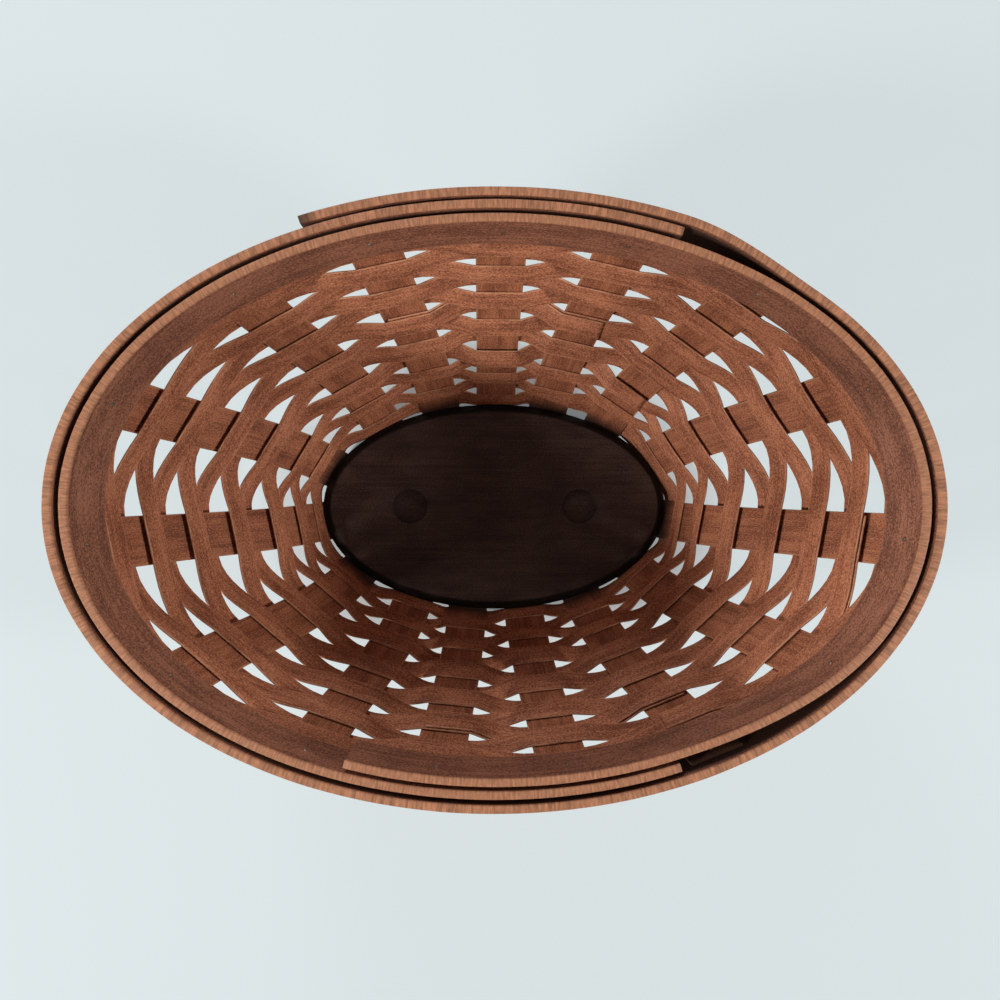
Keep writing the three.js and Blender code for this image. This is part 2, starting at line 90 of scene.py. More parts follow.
WIDE_START = NARROW_LAPS * STAKE_COUNT
WEAVE_END = WIDE_START + WIDE_LAPS * STAKE_COUNT
WEAVE_FLOOR = GROOVE_HEIGHT + STAKE_THICKNESS / 2 + FIRST_ROW_LIFT


def strip_width(passed):
    widened = smooth((passed - WIDE_START + CLIMB_LEAD) / CLIMB_SPAN)
    return NARROW_WIDTH + (WIDE_WIDTH - NARROW_WIDTH) * widened


def row_pitch(width):
    return math.hypot(width, STRIP_THICKNESS) + ROW_GAP


@functools.lru_cache(None)
def lower_edge(passed):
    """The height of a strip's lower edge: level round the basket, then up one row over the climb."""
    climb_start = STAKE_COUNT - CLIMB_LEAD
    if passed < climb_start + CLIMB_SPAN:
        return WEAVE_FLOOR + row_pitch(NARROW_WIDTH) * smooth((passed - climb_start) / CLIMB_SPAN)
    below = passed - STAKE_COUNT
    return lower_edge(below) + row_pitch(strip_width(below))


WEAVE_TOP = lower_edge(WEAVE_END - CLIMB_LEAD) + row_pitch(WIDE_WIDTH)
HOOP_BOTTOM = WEAVE_TOP + CLEARANCE
HOOP_TOP = HOOP_BOTTOM + HOOP_HEIGHT
HOOP_MIDDLE = (HOOP_BOTTOM + HOOP_TOP) / 2

# The wall: at each height it is an oval, which bulges out between the board and the rim

FOOT_A, FOOT_B = BOARD_LENGTH / 2 + STAKE_STAND_OFF, BOARD_WIDTH / 2 + STAKE_STAND_OFF
RIM_A, RIM_B = RIM_LENGTH / 2, RIM_WIDTH / 2
WALL_RISE = HOOP_TOP - GROOVE_HEIGHT
SIDE_SCALE, END_SCALE = math.sqrt(27) / 2, 3125 / 108  # each bulge is full where its curve peaks
ARC_STEPS = 1440


def bulged_axes(share):
    end = END_BULGE * END_SCALE * share ** 3 * (1 - share) ** 2
    side = SIDE_BULGE * SIDE_SCALE * share * (1 - share) * (2 - share)
    return FOOT_A + (RIM_A - FOOT_A) * share + end, FOOT_B + (RIM_B - FOOT_B) * share + side


HOOP_A, HOOP_B = bulged_axes((HOOP_BOTTOM - GROOVE_HEIGHT) / WALL_RISE)
HOOP_GROWTH = (RIM_A - HOOP_A) / HOOP_HEIGHT, (RIM_B - HOOP_B) / HOOP_HEIGHT


def wall_axes(height):
    above = height - HOOP_BOTTOM
    if above >= 0:
        return HOOP_A + HOOP_GROWTH[0] * above, HOOP_B + HOOP_GROWTH[1] * above
    return bulged_axes((height - GROOVE_HEIGHT) / WALL_RISE)


def wall_growth(height):
    if height >= HOOP_BOTTOM:
        return HOOP_GROWTH
    share = (height - GROOVE_HEIGHT) / WALL_RISE
    end = END_BULGE * END_SCALE * share ** 2 * (1 - share) * (3 - 5 * share)
    side = SIDE_BULGE * SIDE_SCALE * (2 - 6 * share + 3 * share ** 2)
    return (RIM_A - FOOT_A + end) / WALL_RISE, (RIM_B - FOOT_B + side) / WALL_RISE


def wall_point(angle, height):
    a, b = wall_axes(height)
    return np.array([a * math.cos(angle), b * math.sin(angle), height])


def oval_normal(angle, a, b):
    return unit(np.array([b * math.cos(angle), a * math.sin(angle), 0.0]))


def rim_normal(angle):
    return oval_normal(angle, RIM_A, RIM_B)


def wall_rise(angle, height):
    a, b = wall_growth(height)
    return np.array([a * math.cos(angle), b * math.sin(angle), 1.0])


def wall_slope(angle, height):
    return math.atan(wall_rise(angle, height) @ rim_normal(angle))


def stake_angles():
    """Even places along the board's edge, each moved a little by a listed amount."""
    turns = math.pi / 2 + 2 * math.pi * np.arange(ARC_STEPS + 1) / ARC_STEPS
    middles = (turns[1:] + turns[:-1]) / 2
    speeds = np.hypot(FOOT_A * np.sin(middles), FOOT_B * np.cos(middles))
    lengths = np.concatenate([[0], np.cumsum(speeds)])
    places = np.interp(lengths[-1] * np.arange(STAKE_COUNT) / STAKE_COUNT, lengths, turns)
    return places + np.radians(STAKE_TURN + np.array(STAKE_WANDER))


def stake_frame(angle):
    normal = rim_normal(angle)
    tangent = np.array([-normal[1], normal[0], 0.0])
    length = unit(wall_rise(angle, HOOP_MIDDLE))
    face = unit(np.cross(tangent, length))
    half = STAKE_WIDTH / 2 / math.sqrt(1 - (tangent @ length) ** 2)
    return {"angle": angle, "normal": normal, "tangent": tangent, "face": face, "half": half}


stakes = [stake_frame(angle) for angle in stake_angles()]

# Meshes

CORNER_LIMIT = 0.98
GRAIN_SHIFT_ALONG, GRAIN_SHIFT_ACROSS = 731, 37


def section(half_width, half_thick, radius, wide_steps, thin_steps, arc_steps):
    """A rounded rectangle, anticlockwise, as pairs across the width and through the thickness."""
    radius = min(radius, half_width * CORNER_LIMIT, half_thick * CORNER_LIMIT)
    w, t = half_width - radius, half_thick - radius
    corners = [(w, -t), (w, t), (-w, t), (-w, -t)]
    points = []
    for k, (wide, thick) in enumerate(corners):
        for step in range(arc_steps + 1):
            angle = math.pi / 2 * (k - 1 + step / arc_steps)
            points.append((wide + radius * math.cos(angle), thick + radius * math.sin(angle)))
        steps = thin_steps if k % 2 == 0 else wide_steps
        next_wide, next_thick = corners[(k + 1) % len(corners)]
        start = points[-1]
        angle = math.pi / 2 * k
        end = (next_wide + radius * math.cos(angle), next_thick + radius * math.sin(angle))
        for step in range(1, steps):
            share = step / steps
            across = start[0] + (end[0] - start[0]) * share
            points.append((across, start[1] + (end[1] - start[1]) * share))
    return points


def make_object(name, points, faces, grain, trim, flat_faces=()):
    """A mesh with two looks per point. Grain is along, across and through the wood. Trim is the place across
    the width from -1 to 1, and the share of painted shade at the point from 0 to 1. Its third value is 0."""
    mesh = bpy.data.meshes.new(name)
    mesh.from_pydata((np.asarray(points) * MM).tolist(), [], faces)
    for label, values in (("grain", grain), ("trim", trim)):
        attribute = mesh.attributes.new(label, "FLOAT_VECTOR", "POINT")
        attribute.data.foreach_set("vector", np.asarray(values, np.float32).ravel())
    work = bmesh.new()
    work.from_mesh(mesh)
    bmesh.ops.recalc_face_normals(work, faces=work.faces)
    work.to_mesh(mesh)
    work.free()
    smooths = np.ones(len(mesh.polygons), bool)
    smooths[list(flat_faces)] = False
    mesh.polygons.foreach_set("use_smooth", smooths)
    piece = bpy.data.objects.new(name, mesh)
    bpy.context.scene.collection.objects.link(piece)
    return piece


def join_rings(faces, starts, sides):
    """Adds the faces between rings of points, from the first point of each ring."""
    for low, high in zip(starts, starts[1:]):
        for j in range(sides):
            k = (j + 1) % sides
            faces.append((low + j, low + k, high + k, high + j))


# No painted shade on the piece
def no_painted_shade(across, through, along, left):
    return 0


def ribbon(name, stations, radius, seed, painted_shade=no_painted_shade, wide_steps=4, thin_steps=1, arc_steps=2):
    """A long piece of wood through stations of point, width way, thickness way, half width and half
    thickness. A given function tells how much painted shade a point has, from its places across and
    through, and from the lengths along and left to the end."""
    points, grain, trim, faces = [], [], [], []
    places = np.array([station[0] for station in stations])
    lengths = np.concatenate([[0], np.cumsum(np.linalg.norm(np.diff(places, axis=0), axis=1))])
    for (point, wide, thick, half_width, half_thick), along in zip(stations, lengths):
        for u, v in section(half_width, half_thick, radius, wide_steps, thin_steps, arc_steps):
            points.append(point + wide * u + thick * v)
            grain.append((along + seed * GRAIN_SHIFT_ALONG, u + seed * GRAIN_SHIFT_ACROSS, v))
            shade_depth = painted_shade(u / half_width, v / half_thick, along, lengths[-1] - along)
            trim.append((u / half_width, shade_depth, 0))
    sides = len(points) // len(stations)
    join_rings(faces, range(0, len(points), sides), sides)
    faces.append(tuple(range(sides)))
    faces.append(tuple(range(len(points) - sides, len(points))))
    return make_object(name, points, faces, grain, trim, (len(faces) - 2, len(faces) - 1))


# Board: its lip over the groove reaches a little further than on the solid, its edge has painted shade up
# to the flat top, and painted shade darkens the sides of the recesses

LIP, EDGE_SHADE_FADE = 0.6, 1
ROUND_SHARE, BEVEL_SOFTNESS = 0.3, 0.1
BOARD_SIDES, RECESS_SIDES = 240, 64
# Painted shade on the sides of the recesses
RECESS_PAINTED_SHADE = 0.8
RECESS_RINGS = 1, 0.96, 0.88, 0.76, 0.6, 0.42, 0.22


def board():
    """Rings from the underside round the edge to the flat top, which is filled in round the two recesses."""
    a, b = BOARD_LENGTH / 2, BOARD_WIDTH / 2
    points, faces, shade_depths = [], [], []

    def ring(found, shade_depth):
        start = len(points)
        points.extend(found)
        shade_depths.extend([shade_depth] * len(found))
        return start

    def oval(inset, height):
        found = []
        for j in range(BOARD_SIDES):
            angle = 2 * math.pi * j / BOARD_SIDES
            place = np.array([a * math.cos(angle), b * math.sin(angle), height])
            found.append(place - oval_normal(angle, a, b) * inset)
        return found

    def dish_ring(middle, share):
        radius = RECESS_DIAMETER / 2
        ball = (radius ** 2 + RECESS_DEPTH ** 2) / (2 * RECESS_DEPTH)
        far = radius * share
        drop = math.sqrt(ball ** 2 - far ** 2) - (ball - RECESS_DEPTH)
        turns = [2 * math.pi * j / RECESS_SIDES for j in range(RECESS_SIDES)]
        height = BOARD_THICKNESS - drop
        return [np.array([middle + far * math.cos(t), far * math.sin(t), height]) for t in turns]

    half = STAKE_THICKNESS / 2 + CLEARANCE
    r, curve = BOARD_EDGE_ROUND, BOARD_EDGE_ROUND * ROUND_SHARE
    wide, high = BOARD_BEVEL_WIDTH, BOARD_BEVEL_HEIGHT
    profile = [(r, 0), (curve, curve), (0, r), (0, GROOVE_HEIGHT - half)]
    profile += [(GROOVE_DEPTH, GROOVE_HEIGHT - half), (GROOVE_DEPTH, GROOVE_HEIGHT + half)]
    profile += [(-LIP, GROOVE_HEIGHT + half), (-LIP, BOARD_THICKNESS - high)]
    profile.append(((1 - BEVEL_SOFTNESS) * wide, BOARD_THICKNESS - BEVEL_SOFTNESS * high))
    profile.append((wide, BOARD_THICKNESS))
    # Painted shade: every ring round the edge is fully dark, and it fades out a little in on the flat top
    starts = [ring(oval(inset, height), 1) for inset, height in profile]
    starts.append(ring(oval(wide + EDGE_SHADE_FADE, BOARD_THICKNESS), 0))
    join_rings(faces, starts, BOARD_SIDES)
    loops = [range(starts[-1], starts[-1] + BOARD_SIDES)]
    for side in (-1, 1):
        dish = []
        for share in RECESS_RINGS:
            # Painted shade: none on the rim, strongest just inside it, fading towards the bottom of the
            # recess
            recess_shade = RECESS_PAINTED_SHADE * share ** 2 if share < 1 else 0
            dish.append(ring(dish_ring(side * RECESS_SPACING / 2, share), recess_shade))
        join_rings(faces, dish, RECESS_SIDES)
        loops.append(range(dish[0], dish[0] + RECESS_SIDES))
        faces.append(tuple(range(dish[-1], dish[-1] + RECESS_SIDES)))
    flat_start = len(faces)
    corners = [index for loop in loops for index in loop]
    outlines = [[Vector(points[index]) for index in loop] for loop in loops]
    for triangle in tessellate_polygon(outlines):
        faces.append(tuple(corners[corner] for corner in triangle))
    faces.append(tuple(reversed(range(BOARD_SIDES))))
    trim = [(0, shade_depth, 0) for shade_depth in shade_depths]
    return make_object("board_wood", points, faces, points, trim, range(flat_start, len(faces)))


# Stakes

# Painted shade at the stakes' feet and heads, in millimetres along from each end, and how far it fades
FOOT_SHADE, FOOT_SHADE_FADE, HEAD_SHADE, HEAD_SHADE_FADE = 7, 5, 9, 4
BEND_STEPS, STAKE_STEPS = 6, 44
STAKE_WIDTH_WANDER, STAKE_WAVE, STAKE_SEED_STEP = 0.012, 0.04, 3.1
STAKE_ROUND = 0.3


def stake_painted_shade(across, through, along, left):
    """Painted shade at the foot by the board and at the head between the hoops."""
    return max(1 - smooth((along - FOOT_SHADE) / FOOT_SHADE_FADE), 1 - smooth((left - HEAD_SHADE) / HEAD_SHADE_FADE))


def stake_stations(stake, seed):
    """From the groove in the board, round a tight bend and up the wall."""
    angle = stake["angle"]
    foot = wall_point(angle, GROOVE_HEIGHT)
    rise = wall_rise(angle, GROOVE_HEIGHT)
    outward = np.array([rise[0], rise[1], 0.0])
    turn = math.atan2(1, np.linalg.norm(outward))
    outward = unit(outward)
    bend = STAKE_BEND_RADIUS + STAKE_THICKNESS / 2
    bend_start = -bend * math.tan(turn / 2)
    reach = np.array([math.cos(angle), math.sin(angle), 0.0]) @ stake["normal"]
    buried = STAKE_STAND_OFF * reach + GROOVE_DEPTH - 2 * CLEARANCE
    path = [(foot - outward * buried / (outward @ stake["normal"]), outward)]
    for step in range(BEND_STEPS + 1):
        theta = turn * step / BEND_STEPS
        place = foot + outward * (bend_start + bend * math.sin(theta)) + UP * bend * (1 - math.cos(theta))
        path.append((place, outward * math.cos(theta) + UP * math.sin(theta)))
    low, top = path[-1][0][2], HOOP_TOP - STAKE_TOP_DROP
    for step in range(1, STAKE_STEPS + 1):
        height = low + (top - low) * step / STAKE_STEPS
        path.append((wall_point(angle, height), unit(wall_rise(angle, height))))
    stations = []
    for place, direction in path:
        uneven = STAKE_WIDTH_WANDER * wander(place[2] * STAKE_WAVE, seed * STAKE_SEED_STEP, 0)
        half = stake["half"] * (1 + uneven)
        through = unit(np.cross(stake["tangent"], direction))
        stations.append((place, stake["tangent"], through, half, STAKE_THICKNESS / 2))
    return stations


# Hoops

LAYER_STEP = HOOP_THICKNESS + LAP_GAP
HOOP_SEAT = STAKE_THICKNESS / 2 + CLEARANCE + HOOP_THICKNESS / 2
HOOP_STEP = 1.2
HOOP_UNEVEN, HOOP_WAVE = 0.12, 0.11
HOOP_THICKNESS_WANDER, HOOP_THICKNESS_WAVE = 0.05, 0.15
HOOP_ROUND, HOOP_SEED = 0.45, 31
HOOP_FINENESS = {"wide_steps": 16, "thin_steps": 3, "arc_steps": 3}
# Painted shade on the hoops' faces towards the stakes, below the top edge, and at the outer lap's tip
ON_FACE, GAP_SHADE_TOP, GAP_SHADE_FADE, TIP_SHADE, TIP_SHADE_FADE = 0.5, 0.98, 0.35, 2, 3


def stake_sag(angle):
    """How far the edges of a flat stake stand out from the oval that its middle follows."""
    speed = math.hypot(RIM_A * math.sin(angle), RIM_B * math.cos(angle))
    return (STAKE_WIDTH / 2) ** 2 / (2 * speed ** 3 / (RIM_A * RIM_B))


def outer_middle(turn):
    layer = smooth((turn - 360 - OUTER_LAP_START) / OUTER_LAP_RAMP + 1)
    return HOOP_SEAT + stake_sag(math.radians(turn)) + LAYER_STEP * layer


def inner_middle(turn):
    layer = 1 - smooth((turn - INNER_LAP_END) / INNER_LAP_RAMP)
    return -HOOP_SEAT - LAYER_STEP * layer


def outer_painted_shade(across, through, along, left):
    """Painted shade below the top edge on the face towards the stakes, and at the tip of the lap."""
    facing = smooth((GAP_SHADE_TOP - across) / GAP_SHADE_FADE) if through < -ON_FACE else 0
    return max(facing, 1 - smooth((left - TIP_SHADE) / TIP_SHADE_FADE))


# Painted shade below the top edge on the face towards the stakes.
def inner_painted_shade(across, through, along, left):
    return smooth((GAP_SHADE_TOP - across) / GAP_SHADE_FADE) if through > ON_FACE else 0


HOOPS = {
    "outer_hoop": (outer_middle, OUTER_LAP_START, OUTER_LAP_END + 360, outer_painted_shade),
    "inner_hoop": (inner_middle, INNER_LAP_START, INNER_LAP_END + 360, inner_painted_shade),
}


def hoop_stations(middle, start, end, seed):
    """Once round and over the lap, on the wall at the hoop's lower and upper edge."""
    steps = round((end - start) / HOOP_STEP)
    stations = []
    for step in range(steps + 1):
        turn = start + (end - start) * step / steps
        angle = math.radians(turn)
        lean = math.cos(wall_slope(angle, HOOP_MIDDLE))
        edges = []
        for height in (HOOP_BOTTOM, HOOP_TOP):
            normal = oval_normal(angle, *wall_axes(height))
            edges.append(wall_point(angle, height) + normal * middle(turn) / lean)
        low, high = edges
        thicker = HOOP_THICKNESS_WANDER * wander(turn * HOOP_THICKNESS_WAVE, seed, 5)
        half_thick = HOOP_THICKNESS / 2 * (1 + thicker)
        uneven = HOOP_UNEVEN * wander(turn * HOOP_WAVE, seed, 0)
        high = high + UP * (uneven - HOOP_UNEVEN)
        wide = unit(high - low)
        thick = rim_normal(angle) / lean
        stations.append(((low + high) / 2, wide, thick, np.linalg.norm(high - low) / 2, half_thick))
    return stations


def hoop_face(name, angle):
    """How far a hoop's farthest face stands from the stakes' middle."""
    middle, start, end, _ = HOOPS[name]
    turn = math.degrees(angle) % 360
    passes = [p for p in (turn, turn + 360) if start <= p <= end]
    return max(abs(middle(p)) + HOOP_THICKNESS / 2 for p in passes)


# Brads

BRAD_SIDES = 14


def brad_profile(inside, outside):
    """Pairs of radius and place, from the point inside the basket to the domed head outside."""
    shank, head = BRAD_DIAMETER / 2, BRAD_HEAD_DIAMETER / 2
    point = [(0.12, 1), (0.6, 0.8), (1, 0.3)]
    dome = [(0.9, 0), (1, 0.2), (0.85, 0.6), (0.5, 0.9), (0.1, 1)]
    profile = [(shank * share, inside - BRAD_TIP_PROUD * proud) for share, proud in point]
    profile.append((shank, outside))
    return profile + [(head * share, outside + BRAD_HEAD_HEIGHT * proud) for share, proud in dome]


def brads():
    points, faces, grain, trim = [], [], [], []
    for stake in stakes:
        outside = hoop_face("outer_hoop", stake["angle"]) + CLEARANCE
        inside = -hoop_face("inner_hoop", stake["angle"])
        profile = brad_profile(inside, outside)
        centre = wall_point(stake["angle"], HOOP_MIDDLE)
        side = stake["tangent"]
        other = np.cross(stake["face"], side)
        base = len(points)
        for radius, height in profile:
            for j in range(BRAD_SIDES):
                angle = 2 * math.pi * j / BRAD_SIDES
                way = side * math.cos(angle) + other * math.sin(angle)
                points.append(centre + stake["face"] * height + way * radius)
                grain.append(points[-1])
                trim.append((2 * radius / BRAD_HEAD_DIAMETER, 0, 0))
        join_rings(faces, range(base, len(points), BRAD_SIDES), BRAD_SIDES)
        faces.append(tuple(range(base, base + BRAD_SIDES)))
        faces.append(tuple(range(len(points) - BRAD_SIDES, len(points))))
    return make_object("hoop_brads", points, faces, grain, trim)


# Woven strips

LAYER_OFFSET = STRIP_THICKNESS + SPLICE_GAP
FLAT_STEPS, CROSSING_STEPS = 5, 8
LEAN_WANDER, LEAN_WAVE, LEAN_SEED_STEP = 1.2, 0.37, 5.3
HEIGHT_WANDER, HEIGHT_WAVE, HEIGHT_SEED_STEP = 0.05, 0.23, 2.7
STRIP_ROUND, STRIP_SEED = 0.3, 21

# Low down the strips lie closer to the stakes and to each other than the solids, which keep clear of each
# other. All strips are a little wider than the solids.
SNUG, WIDER, SNUG_TOP, SNUG_FADE, SWELL = 0.05, 0.02, 40, 22, 1.04

# The first lap's lower edge reaches down to the board, more where it passes outside a stake, and most where
# it climbs. The places are counted in stakes passed before and after the end of that lap.
REST_DROP, FOOT_DROP, CLIMB_DROP = 0.3, 2.8, 3.4
CLIMB_FROM, CLIMB_OVER, REST_END, REST_FADE = 3, 2, 0.5, 0.8


def snugness(height):
    """1 low down, where the strips lie close, and 0 high up."""
    return 1 - smooth((height - SNUG_TOP) / SNUG_FADE)


def stake_passed(crossing):
    return stakes[(crossing + CLIMB_STAKE) % STAKE_COUNT]


def tilt_share(height):
    """The lowest rows lie flat on the stakes, and the leaning is complete above the rise."""
    return smooth((height - WEAVE_FLOOR) / TILT_RISE)


def tilt_at(angle, height):
    full = END_TILT * math.cos(angle) ** 2 - SIDE_TILT * math.sin(angle) ** 2
    return math.radians(full) * tilt_share(height)


def pass_offset(strip, crossing, height):
    """How far from a stake's middle a strip passes it: inside at even crossings and outside at odd ones."""
    stake = stake_passed(crossing)
    tilt = abs(tilt_at(stake["angle"], height))
    half = (STRIP_THICKNESS * math.cos(tilt) + strip_width(crossing) * math.sin(tilt)) / 2
    clear = CLEARANCE + (SNUG - CLEARANCE) * snugness(height)
    slack = clear + END_SLACK * math.cos(stake["angle"]) ** 2 * tilt_share(height)
    offset = (STAKE_THICKNESS / 2 + slack + half) / math.cos(wall_slope(stake["angle"], height))
    if crossing % 2 == 0:
        spliced = strip["spliced"] and crossing <= strip["start"] + SPLICE_LEAD + SPLICE_TAIL
        return -offset - (LAYER_OFFSET if spliced else 0)
    joined = strip["joined"] and crossing >= strip["end"] - SPLICE_TAIL
    return offset + (LAYER_OFFSET if joined else 0)


def beside_stake(strip, crossing, height, along):
    stake = stake_passed(crossing)
    place = wall_point(stake["angle"], height) + stake["normal"] * pass_offset(strip, crossing, height)
    return place + stake["tangent"] * along * (stake["half"] + CLEARANCE)


def ease_from(crossing):
    return INSIDE_EASE if crossing % 2 == 0 else OUTSIDE_EASE


def strip_place(strip, passed, height):
    """A point of the strip and its direction: flat on a stake, and a cubic curve from one to the next."""
    crossing = math.floor(passed + 0.5)
    share = passed - crossing
    if abs(share) <= FLAT_SHARE:
        return beside_stake(strip, crossing, height, share / FLAT_SHARE), stake_passed(crossing)["tangent"]
    before = math.floor(passed)
    start, end = beside_stake(strip, before, height, 1), beside_stake(strip, before + 1, height, -1)
    u = (passed - before - FLAT_SHARE) / (1 - 2 * FLAT_SHARE)
    gap = np.linalg.norm(end - start)
    leave = start + stake_passed(before)["tangent"] * gap * ease_from(before)
    arrive = end - stake_passed(before + 1)["tangent"] * gap * ease_from(before + 1)
    v = 1 - u
    place = v ** 3 * start + 3 * v * v * u * leave + 3 * v * u * u * arrive + u ** 3 * end
    way = v * v * (leave - start) + 2 * v * u * (arrive - leave) + u * u * (end - arrive)
    return place, unit(way)


def first_lap_drop(passed):
    outside = 0.5 - 0.5 * math.cos(math.pi * passed)
    climbing = smooth((passed - STAKE_COUNT + CLIMB_FROM) / CLIMB_OVER)
    resting = 1 - smooth((passed - STAKE_COUNT - REST_END) / REST_FADE)
    return (REST_DROP + FOOT_DROP * outside + CLIMB_DROP * climbing) * resting


def strip_stations(strip, seed):
    """Places on the stakes and between them, each with the lean and width that the strip has there."""
    flat = np.linspace(-FLAT_SHARE, FLAT_SHARE, FLAT_STEPS + 1)
    bent = np.linspace(FLAT_SHARE, 1 - FLAT_SHARE, CROSSING_STEPS + 1)[1:-1]
    shares = [*flat, *bent]
    places = [strip["start"]]
    for crossing in range(math.floor(strip["start"]), math.ceil(strip["end"]) + 1):
        places += [crossing + s for s in shares if strip["start"] < crossing + s < strip["end"]]
    places.append(strip["end"])
    stations = []
    for passed in places:
        low = lower_edge(passed)
        full = strip_width(passed) if strip["wide"] else NARROW_WIDTH
        a, b = wall_axes(low + full / 2)
        near, _ = strip_place(strip, passed, low + full / 2)
        angle = math.atan2(near[1] / b, near[0] / a)
        lean = wall_slope(angle, low + full / 2) - tilt_at(angle, low + full / 2)
        edge = STRIP_THICKNESS * math.sin(lean)
        width = min(full, (WEAVE_TOP - ROW_GAP - low - edge) / math.cos(lean))
        place, way = strip_place(strip, passed, low + (width * math.cos(lean) + edge) / 2)
        lean += math.radians(LEAN_WANDER) * wander(passed * LEAN_WAVE, seed * LEAN_SEED_STEP, 2)
        normal = unit(np.array([way[1], -way[0], 0.0]))
        through = normal * math.cos(lean) - UP * math.sin(lean)
        upward = normal * math.sin(lean) + UP * math.cos(lean)
        rise = wander(passed * HEIGHT_WAVE, seed * HEIGHT_SEED_STEP, 9)
        place = place + UP * HEIGHT_WANDER * rise
        half = (SWELL + WIDER * snugness(place[2])) * width / 2
        lower = first_lap_drop(passed)
        middle = place - upward * lower / 2
        stations.append((middle, upward, through, half + lower / 2, STRIP_THICKNESS / 2))
    return stations


def weave_strips():
    """The narrow strip and the wide ones, which overlap where one follows another."""
    changes = [WIDE_START + splice for splice in SPLICES]
    starts = [WEAVE_START] + [change - SPLICE_LEAD for change in changes]
    ends = [change + SPLICE_TAIL for change in changes] + [WEAVE_END + WEAVE_TAIL]
    for i, (start, end) in enumerate(zip(starts, ends)):
        name = "narrow_weaver" if i == 0 else f"wide_weaver_{i}"
        joined = i < len(changes)
        yield name, {"wide": i > 0, "spliced": i > 0, "joined": joined, "start": start, "end": end}


# Materials. The noises of the wood are in turns per millimetre along, across and through the grain.

STREAK, SPECKLE, BLOTCH = (0.02, 0.8, 0.8), (1.2, 2.0, 2.0), (0.045, 0.12, 0.12)
PORE, FRAY, SAW = (0.6, 5.0, 5.0), (0.16, 1.5, 1.5), (1.15, 0.12, 0.2)
RUST = 1.4, 1.4, 1.4
EDGE_START, EDGE_FULL, TOP_FULL = 0.89, 0.97, 0.95
# The first two set how far painted shade darkens gaps and hollows, and towards what tone
PAINTED_SHADE_SHARE, PAINTED_SHADE_TONE, PORE_SHADE = 0.9, 0.1, 0.4
SAW_DEEP_SHADE, SAW_WORN_SHADE = 0.62, 1.35
BUMP_STRENGTH, BUMP_HEIGHT = 0.4, 0.0003


def add(tree, kind, inputs=None, **settings):
    node = tree.nodes.new(kind)
    for key, value in settings.items():
        setattr(node, key, value)
    for key, value in (inputs or {}).items():
        if isinstance(value, bpy.types.NodeSocket):
            tree.links.new(value, node.inputs[key])
        else:
            node.inputs[key].default_value = value
    return node


def new_material(name):
    material = bpy.data.materials.new(name)
    material.use_nodes = True
    tree = material.node_tree
    shader = tree.nodes["Principled BSDF"]
    return material, tree, shader


def stretched_noise(tree, vector, stretch, detail=3.0, rough=0.55, distort=0.0):
    scaled = add(tree, "ShaderNodeVectorMath", {0: vector, 1: stretch}, operation="MULTIPLY")
    inputs = {"Vector": scaled.outputs[0], "Scale": 1.0, "Detail": detail}
    inputs |= {"Roughness": rough, "Distortion": distort}
    return add(tree, "ShaderNodeTexNoise", inputs).outputs["Fac"]


def ramp(tree, fac, stops):
    node = add(tree, "ShaderNodeValToRGB", {"Fac": fac})
    elements = node.color_ramp.elements
    while len(elements) < len(stops):
        elements.new(0.5)
    for element, (place, color) in zip(elements, stops):
        element.position = place
        element.color = (*color, 1)
    return node.outputs["Color"]


def level(tree, value, low, high, start=0.0, end=1.0):
    inputs = {"Value": value, "From Min": low, "From Max": high, "To Min": start, "To Max": end}
    return add(tree, "ShaderNodeMapRange", inputs, interpolation_type="SMOOTHSTEP").outputs["Result"]


def math_node(tree, operation, a, b=0.0):
    return add(tree, "ShaderNodeMath", {0: a, 1: b}, operation=operation).outputs[0]


def weighted(tree, *parts):
    total = 0.0
    for value, weight in parts:
        total = math_node(tree, "ADD", total, math_node(tree, "MULTIPLY", value, weight))
    return total


def mix(tree, fac, a, b):
    return add(tree, "ShaderNodeMix", {0: fac, 6: a, 7: b}, data_type="RGBA").outputs[2]


def shade(color, share):
    return [channel * share for channel in color]


